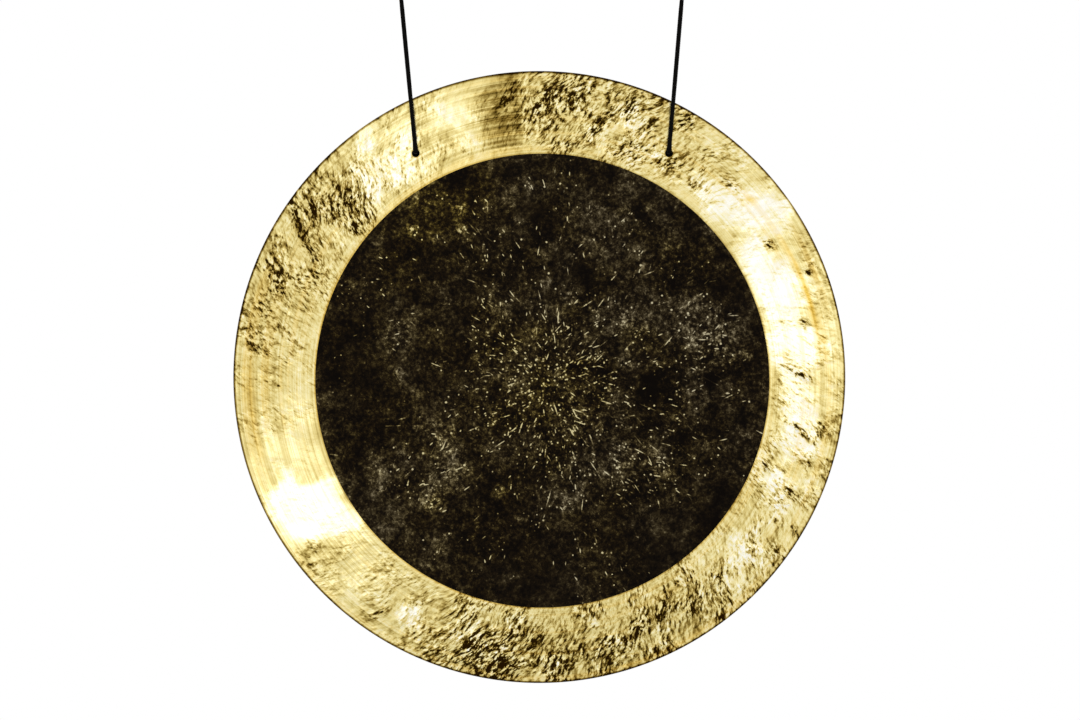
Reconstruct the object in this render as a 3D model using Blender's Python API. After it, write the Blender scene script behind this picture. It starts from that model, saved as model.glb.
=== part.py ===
"""Wind gong: a hammered and lathed bronze disc that hangs on two knotted cords.

Metres, +Z up, with the front towards -Y. The origin is the middle of the hanging line: level with
the seats of the two eyes, where a stand's hooks carry them, and straight above the middle of the
two cord holes. The disc hangs plumb on its cords.
"""

import math

import bmesh
import bpy
from mathutils import Matrix, Vector
from mathutils.geometry import interpolate_bezier

# The disc
GONG_DIAMETER = 0.610
BAND_WIDTH = 0.080  # bright turned band, from the rim in to the raw middle
DOME_RISE = 0.0133  # the middle stands this far in front of the rim
CENTRE_THICKNESS = 0.0023
RIM_THICKNESS = 0.0016
TURNED_DEPTH = 0.0002  # skin that the lathe took off the band, on each face
TURNED_RAMP = 0.0015  # width of the step down from the raw middle to the band
RIM_ROUNDING = 0.0006
OUTLINE_SHIFT = Vector((-0.003, 0.0, 0.0036))  # the rim was cut a little off the lathe's axis

# The two cord holes, laid out about the lathe's axis
HOLE_DIAMETER = 0.008
HOLE_SPACING = 0.252
HOLE_INSET = 0.046  # rim to hole centre

# The cords
CORD_DIAMETER = 0.0038
LEAN_DEGREES = {"left": 5.4, "right": 4.8}  # the cords spread as they rise
HANG_DROP = 0.212  # hanging line to hole centres
SWING_DROP = 0.052  # hanging line to the foot of the eye knots, where the cords swing
STOPPER_TURNS = 2
# The crown of the stopper knot goes from the core out over the wraps: share of the wraps'
# radius, degrees before the first wrap, and height above it in cord radii.
STOPPER_CROWN = (
    (0.06, -230, -0.30),
    (0.35, -205, 0.75),
    (0.65, -170, 1.30),
    (0.92, -140, 1.25),
    (1.03, -110, 0.70),
    (1.03, -60, 0.30),
)
STOPPER_CORE_DROP = 2.6  # end of the straight core below the first wrap, in cord radii
STOPPER_TAIL_RISE = 0.3  # the tail's end bends away from the plate by this share of its length
EYE_KNOT_TURNS = 3
EYE_HALF_WIDTH = 0.010  # middle of the cord, at the widest part of the eye
EYE_TAPER = 1.5  # how fast the eye's two legs draw together at its foot
LEG_BEND = 0.8  # bend from the eye's leg into the wraps, in cord diameters
EYE_TAIL_DRIFT = 0.1  # sideways bend of the eye knot's tail, as a share of its length
EYE_TAIL_DROOP = 0.12
TAIL_LENGTH = 0.015

# Clearances
FIT_GAP = 0.0003  # between two pieces that touch
WRAP_GAP = 0.0003  # between a knot's wraps

# Fineness
DISC_SEGMENTS = 112
HOLE_SEGMENTS = 32
CENTRE_RINGS = 6
BAND_RINGS = 4
RIM_STEPS = 3
CORD_SPACING = 0.0095  # points along a straight cord
KNOT_SPACING = 0.0015  # points along a knotted one
EYE_STEPS = 30
ROUTE_STEP = math.radians(45)  # route points round a wrap
LEG_ANGLES = (0, 30, 60)  # route points round the bend of the leg, in degrees
TAIL_SHARES = (0.35, 0.7, 1)  # route points along a tail
ROUND_END_ANGLES = (0, 25, 50, 75)  # rings of a cord's half-round end, in degrees
CORD_BEVEL_STEPS = 2
SHARP_ANGLE = math.radians(30)

BRONZE = {"colour": (0.72, 0.56, 0.27), "roughness": 0.38, "metallic": 1.0}
NYLON = {"colour": (0.012, 0.011, 0.011), "roughness": 0.62, "metallic": 0.0}

GONG_RADIUS = GONG_DIAMETER / 2
CENTRE_RADIUS = GONG_RADIUS - BAND_WIDTH
HOLE_RADIUS = HOLE_DIAMETER / 2
CORD_RADIUS = CORD_DIAMETER / 2
HOLE_CIRCLE = GONG_RADIUS - HOLE_INSET
HOLE_RISE = math.sqrt(HOLE_CIRCLE**2 - (HOLE_SPACING / 2) ** 2)
LATHE_AXIS = Vector((0, 0, -HANG_DROP - HOLE_RISE))
# The cord lies against the top of its hole, because the disc hangs on it.
ROCK_HEIGHT = -HANG_DROP + HOLE_RADIUS - CORD_RADIUS - FIT_GAP
SWING_HEIGHT = -SWING_DROP
WRAP_RADIUS = CORD_DIAMETER + WRAP_GAP
WRAP_PITCH = CORD_DIAMETER + WRAP_GAP
FULL_TURN = math.radians(360)
DRILL_LENGTH = 2 * (DOME_RISE + CENTRE_THICKNESS)  # passes through the plate anywhere on the dome


def clear_scene():
    for obj in list(bpy.data.objects):
        bpy.data.objects.remove(obj)


def give_finish(obj, finish):
    """Gives the object a material of its own."""
    material = bpy.data.materials.new(obj.name + "_finish")
    material.use_nodes = True
    shader = material.node_tree.nodes["Principled BSDF"]
    shader.inputs["Base Color"].default_value = (*finish["colour"], 1)
    shader.inputs["Roughness"].default_value = finish["roughness"]
    shader.inputs["Metallic"].default_value = finish["metallic"]
    obj.data.materials.append(material)


def add_axis(name, height, parent=None):
    """An empty on a joint's axis, which carries the pieces that move about it."""
    axis = bpy.data.objects.new(name, None)
    bpy.context.scene.collection.objects.link(axis)
    axis.location.z = height - (parent.location.z if parent else 0)
    axis.parent = parent
    return axis


def hang_on(obj, axis, height):
    """Moves the object's origin to an axis at this height, and its place stays the same."""
    obj.data.transform(Matrix.Translation((0, 0, -height)))
    obj.parent = axis


# Disc
def dome(radius):
    """Depth (Y) of the untouched front skin at this distance from the lathe's axis.

    The front stands just behind the cords at the holes, so a cord rises past the rim in front.
    """
    at_hole = DOME_RISE * (HOLE_CIRCLE / GONG_RADIUS) ** 2 + turned(HOLE_CIRCLE)
    return CORD_RADIUS + FIT_GAP - at_hole + DOME_RISE * (radius / GONG_RADIUS) ** 2


def turned(radius):
    return TURNED_DEPTH if radius > CENTRE_RADIUS else 0


def plate(radius):
    """Thickness of the forged plate before turning, thinning from the middle to the rim."""
    thinning = CENTRE_THICKNESS - RIM_THICKNESS - 2 * TURNED_DEPTH
    return CENTRE_THICKNESS - thinning * (radius / GONG_RADIUS) ** 2


def front_skin(radius, ring_radius):
    return dome(radius) + turned(ring_radius)


def back_skin(radius, ring_radius):
    return dome(radius) + plate(radius) - turned(ring_radius)


def face_rings():
    """Radius of each ring of one face, from the middle out to where the rim's rounding starts."""
    step = TURNED_RAMP / 2
    inner = CENTRE_RADIUS - step
    rings = [inner * (i + 1) / CENTRE_RINGS for i in range(CENTRE_RINGS)]
    rings.append(CENTRE_RADIUS + step)
    band = GONG_RADIUS - RIM_ROUNDING - rings[-1]
    return rings + [rings[-1] + band * (i + 1) / BAND_RINGS for i in range(BAND_RINGS)]


def ring_centre(ring_radius):
    """The raw middle is round about the lathe's axis, and the rings drift to the outline's middle."""
    across = max(0.0, ring_radius - CENTRE_RADIUS) / BAND_WIDTH
    return LATHE_AXIS + across * OUTLINE_SHIFT


def add_ring(mesh, ring_radius, skin, inset):
    """One ring of points on a skin, sunk by the inset where the rim is rounded."""
    centre = ring_centre(ring_radius)
    depth = inset if skin is front_skin else -inset
    ring = []
    for i in range(DISC_SEGMENTS):
        turn = FULL_TURN * i / DISC_SEGMENTS
        point = centre + ring_radius * Vector((math.cos(turn), 0, math.sin(turn)))
        point.y = skin((point - LATHE_AXIS).length, ring_radius) + depth
        ring.append(mesh.verts.new(point))
    return ring


def add_face_of_disc(mesh, skin):
    """Rings of one face with its middle point, from the middle out over its half of the rim."""
    middle = mesh.verts.new(LATHE_AXIS + Vector((0, skin(0, 0), 0)))
    rings = [add_ring(mesh, radius, skin, 0) for radius in face_rings()]
    for i in range(1, RIM_STEPS + 1):
        turn = math.radians(90) * i / RIM_STEPS
        radius = GONG_RADIUS - RIM_ROUNDING * (1 - math.sin(turn))
        rings.append(add_ring(mesh, radius, skin, RIM_ROUNDING * (1 - math.cos(turn))))
    for i in range(DISC_SEGMENTS):
        mesh.faces.new((middle, rings[0][i - 1], rings[0][i]))
    for inner, outer in zip(rings, rings[1:]):
        join_rings(mesh, inner, outer)
    return rings[-1]


def join_rings(mesh, inner, outer):
    for i in range(DISC_SEGMENTS):
        mesh.faces.new((inner[i - 1], outer[i - 1], outer[i], inner[i]))


def add_disc():
    """The domed plate: a turned form whose rim was cut slightly off centre."""
    mesh = bmesh.new()
    front_rim = add_face_of_disc(mesh, front_skin)
    back_rim = add_face_of_disc(mesh, back_skin)
    join_rings(mesh, front_rim, back_rim)
    bmesh.ops.recalc_face_normals(mesh, faces=mesh.faces)
    data = bpy.data.meshes.new("gong_disc")
    mesh.to_mesh(data)
    mesh.free()
    disc = bpy.data.objects.new("gong_disc", data)
    bpy.context.scene.collection.objects.link(disc)
    data.shade_smooth()
    data.set_sharp_from_angle(angle=SHARP_ANGLE)
    return disc


def add_drill(side, axis):
    """A cutter for one cord hole, straight through from front to back."""
    mesh = bmesh.new()
    bmesh.ops.create_cone(
        mesh,
        cap_ends=True,
        segments=HOLE_SEGMENTS,
        radius1=HOLE_RADIUS,
        radius2=HOLE_RADIUS,
        depth=DRILL_LENGTH,
        matrix=Matrix.Rotation(math.radians(90), 4, "X"),
    )
    data = bpy.data.meshes.new(side + "_drill")
    mesh.to_mesh(data)
    mesh.free()
    data.transform(Matrix.Translation((side_sign(side) * HOLE_SPACING / 2, 0, -HANG_DROP)))
    drill = bpy.data.objects.new(side + "_drill", data)
    bpy.context.scene.collection.objects.link(drill)
    drill.hide_render = True
    drill.display_type = "WIRE"
    hang_on(drill, axis, ROCK_HEIGHT)
    return drill


def build_disc(axis):
    disc = add_disc()
    give_finish(disc, BRONZE)
    hang_on(disc, axis, ROCK_HEIGHT)
    for side in LEAN_DEGREES:
        hole = disc.modifiers.new(side + "_cord_hole", "BOOLEAN")
        hole.operation = "DIFFERENCE"
        hole.solver = "EXACT"
        hole.object = add_drill(side, axis)


# Cords
def side_sign(side):
    return -1 if side == "left" else 1


def cord_line(side):
    """Where a cord leaves its hole, and the direction in which it rises."""
    lean = math.radians(LEAN_DEGREES[side])
    foot = Vector((side_sign(side) * HOLE_SPACING / 2, 0, ROCK_HEIGHT))
    return foot, Vector((side_sign(side) * math.sin(lean), 0, math.cos(lean)))


def cord_head(side):
    """Where a cord meets its eye knot, on the swing axis."""
    foot, rise = cord_line(side)
    return foot + rise * (SWING_HEIGHT - ROCK_HEIGHT) / rise.z


def axes_frame(origin, first, third):
    """Matrix from a knot's own axes, the third along the knot, to the object's."""
    second = third.cross(first)
    frame = Matrix((first, second, third)).transposed().to_4x4()
    return Matrix.Translation(origin) @ frame


def round_point(radius, turn, along):
    return Vector((radius * math.cos(turn), radius * math.sin(turn), along))


def wrap_route(first_turn, last_turn, top):
    """Route points of wraps that wind down from a height, a pitch for each full turn."""
    steps = round((last_turn - first_turn) / ROUTE_STEP)
    turns = [first_turn + (last_turn - first_turn) * i / steps for i in range(steps + 1)]
    drops = [WRAP_PITCH * (turn - first_turn) / FULL_TURN for turn in turns]
    return [round_point(WRAP_RADIUS, turn, top - drop) for turn, drop in zip(turns, drops)]


def smooth_curve(route, spacing):
    """Points about this far apart on a smooth curve through the route's own points."""
    whole = [2 * route[0] - route[1], *route, 2 * route[-1] - route[-2]]
    points = []
    for before, start, end, after in zip(whole, whole[1:], whole[2:], whole[3:]):
        chord = (end - start).length
        start_handle = start + (end - before).normalized() * chord / 3
        end_handle = end - (after - start).normalized() * chord / 3
        steps = max(1, round(chord / spacing))
        points += interpolate_bezier(start, start_handle, end_handle, end, steps + 1)[:-1]
    return points + [route[-1]]


def half_round(tip, outward):
    """Points and radius shares of a cord's half-round end."""
    outward = outward.normalized()
    middle = tip - CORD_RADIUS * outward
    turns = [math.radians(angle) for angle in ROUND_END_ANGLES]
    return [(middle + CORD_RADIUS * math.sin(turn) * outward, math.cos(turn)) for turn in turns]


def add_cord(name, points, round_start=False, round_end=False):
    """A solid length of cord along the points, its ends flat or half round."""
    stations = [(point, 1.0) for point in points]
    if round_end:
        stations[-1:] = half_round(points[-1], points[-1] - points[-2])
    if round_start:
        stations[:1] = reversed(half_round(points[0], points[0] - points[1]))
    curve = bpy.data.curves.new(name, "CURVE")
    curve.dimensions = "3D"
    curve.bevel_depth = CORD_RADIUS
    curve.bevel_resolution = CORD_BEVEL_STEPS
    curve.use_fill_caps = True
    spline = curve.splines.new("POLY")
    spline.points.add(len(stations) - 1)
    for target, (point, share) in zip(spline.points, stations):
        target.co = (*point, 1)
        target.radius = share
    spline.use_smooth = True
    cord = bpy.data.objects.new(name, curve)
    bpy.context.scene.collection.objects.link(cord)
    give_finish(cord, NYLON)
    return cord


def build_strand(side, axis):
    """The straight stretch in front of the rim, half round about both of its pivots."""
    foot, rise = cord_line(side)
    bottom = foot - CORD_RADIUS * rise
    top = cord_head(side) + CORD_RADIUS * rise
    steps = round((top - bottom).length / CORD_SPACING)
    points = [bottom.lerp(top, i / steps) for i in range(steps + 1)]
    strand = add_cord(side + "_cord", points, round_start=True, round_end=True)
    hang_on(strand, axis, SWING_HEIGHT)


def stopper_route(seat):
    """Route through the hole and round the stopper knot: the core, a turn out over it, the wraps
    back towards the plate and a tail that hangs down. The knot bears on the plate at the seat."""
    lowest = seat + CORD_RADIUS
    last_turn = math.radians(90)
    first_turn = last_turn - STOPPER_TURNS * FULL_TURN
    top = lowest + STOPPER_TURNS * WRAP_PITCH
    mouth = CORD_RADIUS + FIT_GAP
    core_end = top - STOPPER_CORE_DROP * CORD_RADIUS
    steps = round((core_end - mouth) / CORD_DIAMETER)
    core = [Vector((0, 0, mouth + (core_end - mouth) * i / steps)) for i in range(steps + 1)]
    over = []
    for share, degrees, height in STOPPER_CROWN:
        turn = first_turn + math.radians(degrees)
        over.append(round_point(share * WRAP_RADIUS, turn, top + height * CORD_RADIUS))
    wraps = wrap_route(first_turn, last_turn, top)
    corner = wraps[-1]
    hang = Vector((-1, 0, 0))
    away = Vector((0, 0, 1))
    tail = []
    for share in TAIL_SHARES:
        bend = STOPPER_TAIL_RISE * share**3 * away
        tail.append(corner + TAIL_LENGTH * (share * hang + bend))
    return core + over + wraps + tail


def build_stopper(side, axis):
    """The cord's lower end: through the hole to a barrel knot that can't pull back through it."""
    foot, _ = cord_line(side)
    knot_reach = WRAP_RADIUS + CORD_RADIUS
    highest = HOLE_CIRCLE + knot_reach + HOLE_RADIUS
    seat = back_skin(highest, highest) + FIT_GAP
    frame = axes_frame(foot, Vector((0, 0, 1)), Vector((0, 1, 0)))
    points = [frame @ point for point in smooth_curve(stopper_route(seat), KNOT_SPACING)]
    stopper = add_cord(side + "_stopper_knot", points, round_end=True)
    hang_on(stopper, axis, ROCK_HEIGHT)


def eye_knot_route():
    """Route of the eye knot's wraps: down beside the core, round it, and out to a tail."""
    bend = LEG_BEND * CORD_DIAMETER
    last_turn = EYE_KNOT_TURNS * FULL_TURN + math.radians(90)
    first_turn = bend / WRAP_RADIUS
    lowest = FIT_GAP + CORD_DIAMETER
    top = lowest + WRAP_PITCH * (last_turn - first_turn) / FULL_TURN
    leg = [round_point(WRAP_RADIUS, 0, top + bend + CORD_RADIUS)]
    for angle in LEG_ANGLES:
        turn = math.radians(angle)
        around = bend * (1 - math.cos(turn)) / WRAP_RADIUS
        leg.append(round_point(WRAP_RADIUS, around, top + bend * (1 - math.sin(turn))))
    wraps = wrap_route(first_turn, last_turn, top)
    corner = wraps[-1]
    tail = []
    for share in TAIL_SHARES:
        bend = Vector((0, EYE_TAIL_DRIFT, -EYE_TAIL_DROOP)) * share**2
        tail.append(corner + TAIL_LENGTH * (Vector((-share, 0, 0)) + bend))
    return leg + wraps + tail


def teardrop(t):
    """Sideways reach of the eye's outline, from its foot (0) over its top (0.5) to its foot (1)."""
    return math.sin(FULL_TURN * t) * math.sin(math.pi * t) ** EYE_TAPER


def eye_points(knot_top, seat_height):
    """The core up through the knot and the eye above it, a teardrop that comes back down beside
    the core. The eye's inside top is the seat of the hook."""
    base = knot_top + CORD_RADIUS
    core_foot = CORD_RADIUS + FIT_GAP
    steps = round((base - core_foot) / CORD_DIAMETER)
    points = [Vector((0, 0, core_foot + (base - core_foot) * i / steps)) for i in range(steps)]
    height = seat_height + CORD_RADIUS - base
    widest = max(teardrop(i / EYE_STEPS) for i in range(EYE_STEPS))
    for i in range(EYE_STEPS + 1):
        t = i / EYE_STEPS
        drift = WRAP_RADIUS * t * t * (3 - 2 * t)
        spread = EYE_HALF_WIDTH * teardrop(t) / widest
        rise = height * math.sin(math.pi * t) ** 2
        points.append(Vector((drift - spread, 0, base + rise)))
    points.append(Vector((WRAP_RADIUS, 0, knot_top + FIT_GAP)))
    return points


def build_eye(side, line_axis):
    """The cord's upper end: an eye for the stand's hook, and the knot that holds it."""
    _, rise = cord_line(side)
    across = Vector((0, 1, 0)).cross(rise)
    frame = axes_frame(cord_head(side), across, rise)
    route = eye_knot_route()
    knot_points = [frame @ point for point in smooth_curve(route, KNOT_SPACING)]
    knot = add_cord(side + "_eye_knot", knot_points, round_end=True)
    hang_on(knot, line_axis, 0)
    seat_height = SWING_DROP / rise.z
    loop_points = [frame @ point for point in eye_points(route[0].z, seat_height)]
    loop = add_cord(side + "_eye", loop_points)
    hang_on(loop, line_axis, 0)


def build():
    clear_scene()
    hanging_line = add_axis("hanging_line", 0)
    swing_axis = add_axis("cord_swing_axis", SWING_HEIGHT)
    rock_axis = add_axis("gong_rock_axis", ROCK_HEIGHT, swing_axis)
    build_disc(rock_axis)
    for side in LEAN_DEGREES:
        build_stopper(side, rock_axis)
        build_strand(side, swing_axis)
        build_eye(side, hanging_line)


build()
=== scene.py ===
# Looks of a 24 inch wind gong: hammered bronze with a turned band and a raw middle, on two black cords.
# Metres, +Z up, front towards -Y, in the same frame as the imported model.
import math

import bmesh
import bpy
import numpy as np
from mathutils import Matrix, Vector, noise


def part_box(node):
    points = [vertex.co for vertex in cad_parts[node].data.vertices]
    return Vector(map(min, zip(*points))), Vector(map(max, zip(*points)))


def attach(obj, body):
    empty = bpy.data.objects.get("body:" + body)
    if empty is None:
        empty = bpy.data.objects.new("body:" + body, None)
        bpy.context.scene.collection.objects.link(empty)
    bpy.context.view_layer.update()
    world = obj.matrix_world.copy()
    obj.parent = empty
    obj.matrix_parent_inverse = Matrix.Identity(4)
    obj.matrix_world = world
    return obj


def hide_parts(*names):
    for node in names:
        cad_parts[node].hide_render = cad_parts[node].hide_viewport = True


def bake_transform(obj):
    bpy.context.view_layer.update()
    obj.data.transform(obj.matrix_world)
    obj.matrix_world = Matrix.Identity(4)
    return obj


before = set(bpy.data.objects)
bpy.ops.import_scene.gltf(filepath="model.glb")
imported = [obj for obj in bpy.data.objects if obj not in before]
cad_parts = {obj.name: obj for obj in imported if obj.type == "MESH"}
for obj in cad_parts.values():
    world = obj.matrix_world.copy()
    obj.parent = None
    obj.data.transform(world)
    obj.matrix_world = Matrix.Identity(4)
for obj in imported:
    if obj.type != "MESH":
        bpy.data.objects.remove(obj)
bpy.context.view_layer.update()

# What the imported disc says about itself, and the few sizes that its box can't give
discLow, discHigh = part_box("gong_disc")
disc = {
    "rimRadius": (discHigh.x - discLow.x) / 2,
    "rimCentre": Vector(((discLow.x + discHigh.x) / 2, 0, (discLow.z + discHigh.z) / 2)),
    "outlineShift": Vector((-0.003, 0, 0.0036)),  # the rim was cut a little off the lathe's axis
    "bandWidth": 0.080,
    "domeRise": 0.0133,
    "middleThickness": 0.0023,
    "rimThickness": 0.0016,
    "turnedDepth": 0.0002,
    "turnedRamp": 0.0015,
    "rimRounding": 0.0006,
    "holeRadius": 0.004,
    "holeSpacing": 0.252,
    "holeInset": 0.046,
    "hangDrop": 0.212,
}
latheAxis = disc["rimCentre"] - disc["outlineShift"]
middleRadius = disc["rimRadius"] - disc["bandWidth"]
holeCircle = disc["rimRadius"] - disc["holeInset"]

cord = {
    "radius": 0.0019,
    "fitGap": 0.0003,
    "leanDegrees": {"left": 5.4, "right": 4.8},
    "swingDrop": 0.052,
    "sides": 40,
    "ringStep": 0.00036,
    "capDegrees": (88, 70, 52, 34, 17),  # the rings that round an end, from its tip back to its side
    "tipRise": 0.00001,
    "meltedEnd": 0.003,  # where the flame that sealed the cut end ran the strands together
    "meltedHeight": 0.9,
    "strandsEachWay": 8,  # a 16-strand braid
    "cellLength": 0.00115,  # braid cell along the cord, as on 4 mm braided nylon
    "ridge": 0.00024,  # how far a strand stands out of the crevices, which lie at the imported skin
    "underHeight": 0.45,  # of a strand where it dives under the next one
    "strandRounding": (0.7, 0.8),  # powers, across a strand and along it
    # filaments of about 0.1 mm, drawn at 0.2 mm so that they still show: cells round the cord, and along
    # one repeat of the braid
    "filamentCells": (60, 90, 1),
    # where the braid is fuller: share, then metres along the piece and the length over which it changes
    "fullAtHole": (0.22, 0.0062, 0.0042),
    "fullInAir": (0.08, 0.062, 0.004, 0.149, 0.0015),
    "fullBehind": (0.16, 0.008, 0.001),
    "knotEndRise": 0.16,  # of the strand's end in the eye knot, as a share of half round
    "pathPoints": 60,
}
cord["wrap"] = 2 * cord["radius"] + cord["fitGap"]  # radius and pitch of a knot's wraps
rockHeight = -disc["hangDrop"] + disc["holeRadius"] - cord["radius"] - cord["fitGap"]
swingHeight = -cord["swingDrop"]


def linear(hexColour):
    # sRGB hex to the linear colour that the shaders take
    channels = [int(hexColour[i : i + 2], 16) / 255 for i in (1, 3, 5)]
    return (*[c / 12.92 if c <= 0.04045 else ((c + 0.055) / 1.055) ** 2.4 for c in channels], 1)


def addNode(tree, kind, settings=None, links=None):
    # adds one shader node, sets its inputs and options, links its inputs, and hands back its outputs
    added = tree.nodes.new("ShaderNode" + kind)
    for key, value in (settings or {}).items():
        if isinstance(key, str) and hasattr(added, key):
            setattr(added, key, value)
        else:
            added.inputs[key].default_value = value
    for key, source in (links or {}).items():
        tree.links.new(source, added.inputs[key])
    return added.outputs


def setStops(ramp, stops):
    # gives a colour ramp its stops: place and sRGB hex
    colours = ramp.node.color_ramp
    colours.elements.remove(colours.elements[1])
    colours.elements[0].position, colours.elements[0].color = stops[0][0], linear(stops[0][1])
    for position, colour in stops[1:]:
        colours.elements.new(position).color = linear(colour)


def newMaterial(name):
    material = bpy.data.materials.new(name)
    material.use_nodes = True
    return material, material.node_tree, material.node_tree.nodes["Principled BSDF"]


def deselectAll():
    for each in bpy.context.selected_objects:
        each.select_set(False)


def makeActive(obj):
    deselectAll()
    obj.select_set(True)
    bpy.context.view_layer.objects.active = obj


# Camera: square on, with the photograph's frame of 1080 x 720
view = {
    "distance": 2.5,
    "frameWidth": 1.0737,  # metres across the picture at the gong
    "aim": Vector((0.0007, 0, 0.0169)),  # middle of the picture, from the middle of the rim
}
cameraData = bpy.data.cameras.new("camera")
cameraData.sensor_width = 36
cameraData.lens = cameraData.sensor_width * view["distance"] / view["frameWidth"]
camera = bpy.data.objects.new("camera", cameraData)
bpy.context.scene.collection.objects.link(camera)
camera.location = disc["rimCentre"] + view["aim"] + Vector((0, -view["distance"], 0))
camera.rotation_euler = (math.radians(90), 0, 0)
bpy.context.scene.camera = camera
print("camera set")


# The cords' routes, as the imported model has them
knots = {
    "stopperTurns": 2,
    # out from the core over the wraps: share of the wraps' radius, degrees before the first wrap, and cord
    # radii above it
    "stopperCrown": [
        (0.06, -230, -0.30),
        (0.35, -205, 0.75),
        (0.65, -170, 1.30),
        (0.92, -140, 1.25),
        (1.03, -110, 0.70),
        (1.03, -60, 0.30),
    ],
    "stopperCoreDrop": 2.6,
    "stopperTailRise": 0.3,
    "stopperCoreStart": 0.0056,  # behind the plate, where the core is hidden by the wraps
    "eyeTurns": 3,
    "eyeHalfWidth": 0.010,
    "eyeTaper": 1.5,
    "eyeSteps": 30,
    "legBend": 0.8,
    "tailDrift": 0.1,
    "tailDroop": 0.12,
    "tailLength": 0.015,
    "tailShares": (0.35, 0.7, 1),
    "strandStart": (0.96, 0.75),  # shares of the core's start, inside the stopper knot
    "holeBend": 0.0026,  # radius of the bend from the straight stretch into the hole
    "bendSteps": 6,
    "straightStep": 0.008,
    "routeStep": math.radians(45),
}
fullTurn = 2 * math.pi


def sideSign(side):
    return -1 if side == "left" else 1


def cordLine(side):
    # where a cord leaves its hole, and the direction in which it rises
    lean = math.radians(cord["leanDegrees"][side])
    foot = Vector((sideSign(side) * disc["holeSpacing"] / 2, 0, rockHeight))
    return foot, Vector((sideSign(side) * math.sin(lean), 0, math.cos(lean)))


def cordHead(side):
    foot, rise = cordLine(side)
    return foot + rise * (swingHeight - rockHeight) / rise.z


def knotFrame(origin, first, third):
    turned = Matrix((first, third.cross(first), third)).transposed().to_4x4()
    return Matrix.Translation(origin) @ turned


def roundPoint(radius, turn, along):
    return Vector((radius * math.cos(turn), radius * math.sin(turn), along))


def wrapRoute(firstTurn, lastTurn, top):
    steps = round((lastTurn - firstTurn) / knots["routeStep"])
    turns = [firstTurn + (lastTurn - firstTurn) * i / steps for i in range(steps + 1)]
    return [roundPoint(cord["wrap"], t, top - cord["wrap"] * (t - firstTurn) / fullTurn) for t in turns]


def smoothRoute(route, spacing):
    # even points on a smooth curve through the route's own points
    whole = [2 * route[0] - route[1], *route, 2 * route[-1] - route[-2]]
    fine = []
    for before, start, end, after in zip(whole, whole[1:], whole[2:], whole[3:]):
        chord = (end - start).length
        a = start + (end - before).normalized() * chord / 3
        b = end - (after - start).normalized() * chord / 3
        steps = max(2, round(2 * chord / spacing))
        for i in range(steps):
            t = i / steps
            leaving = (1 - t) ** 3 * start + 3 * t * (1 - t) ** 2 * a
            fine.append(leaving + 3 * t * t * (1 - t) * b + t**3 * end)
    fine.append(route[-1])
    co = np.array(fine)
    along = np.concatenate([[0], np.cumsum(np.linalg.norm(np.diff(co, axis=0), axis=1))])
    even = np.linspace(0, along[-1], max(8, round(along[-1] / spacing)))
    return np.stack([np.interp(even, along, co[:, k]) for k in range(3)], axis=1)


def dome(radius):
    atHole = disc["domeRise"] * (holeCircle / disc["rimRadius"]) ** 2 + disc["turnedDepth"]
    return cord["radius"] + cord["fitGap"] - atHole + disc["domeRise"] * (radius / disc["rimRadius"]) ** 2


def plateThickness(radius):
    thinning = disc["middleThickness"] - disc["rimThickness"] - 2 * disc["turnedDepth"]
    return disc["middleThickness"] - thinning * (radius / disc["rimRadius"]) ** 2


def stopperRoute(seat):
    radius = cord["radius"]
    lastTurn = math.radians(90)
    firstTurn = lastTurn - knots["stopperTurns"] * fullTurn
    top = seat + radius + knots["stopperTurns"] * cord["wrap"]
    coreEnd = top - knots["stopperCoreDrop"] * radius
    start = knots["stopperCoreStart"]
    core = [Vector((0, 0, start + (coreEnd - start) * i / 2)) for i in range(3)]
    over = []
    for share, degrees, height in knots["stopperCrown"]:
        turn = firstTurn + math.radians(degrees)
        over.append(roundPoint(share * cord["wrap"], turn, top + height * radius))
    wraps = wrapRoute(firstTurn, lastTurn, top)
    tail = []
    for share in knots["tailShares"]:
        bend = Vector((0, 0, knots["stopperTailRise"] * share**3))
        tail.append(wraps[-1] + knots["tailLength"] * (Vector((-share, 0, 0)) + bend))
    return core + over + wraps + tail


def teardrop(t):
    return math.sin(fullTurn * t) * math.sin(math.pi * t) ** knots["eyeTaper"]


def eyeRoute(seatHeight):
    # one length of cord: the core up through the knot, the eye, the leg down, the wraps and the tail
    radius = cord["radius"]
    bend = knots["legBend"] * 2 * radius
    lastTurn = knots["eyeTurns"] * fullTurn + math.radians(90)
    firstTurn = bend / cord["wrap"]
    top = cord["fitGap"] + 2 * radius + cord["wrap"] * (lastTurn - firstTurn) / fullTurn
    base = top + bend + 2 * radius
    steps = round(base / (2 * radius))
    route = [Vector((0, 0, base * i / steps)) for i in range(steps)]
    height = seatHeight + radius - base
    widest = max(teardrop(i / knots["eyeSteps"]) for i in range(knots["eyeSteps"]))
    for i in range(knots["eyeSteps"] + 1):
        t = i / knots["eyeSteps"]
        drift = cord["wrap"] * t * t * (3 - 2 * t)
        spread = knots["eyeHalfWidth"] * teardrop(t) / widest
        route.append(Vector((drift - spread, 0, base + height * math.sin(math.pi * t) ** 2)))
    for angle in (0, 30, 60):
        turn = math.radians(angle)
        around = bend * (1 - math.cos(turn)) / cord["wrap"]
        route.append(roundPoint(cord["wrap"], around, top + bend * (1 - math.sin(turn))))
    wraps = wrapRoute(firstTurn, lastTurn, top)
    route += wraps
    for share in knots["tailShares"]:
        sag = Vector((0, knots["tailDrift"], -knots["tailDroop"])) * share**2
        route.append(wraps[-1] + knots["tailLength"] * (Vector((-share, 0, 0)) + sag))
    return route


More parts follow.
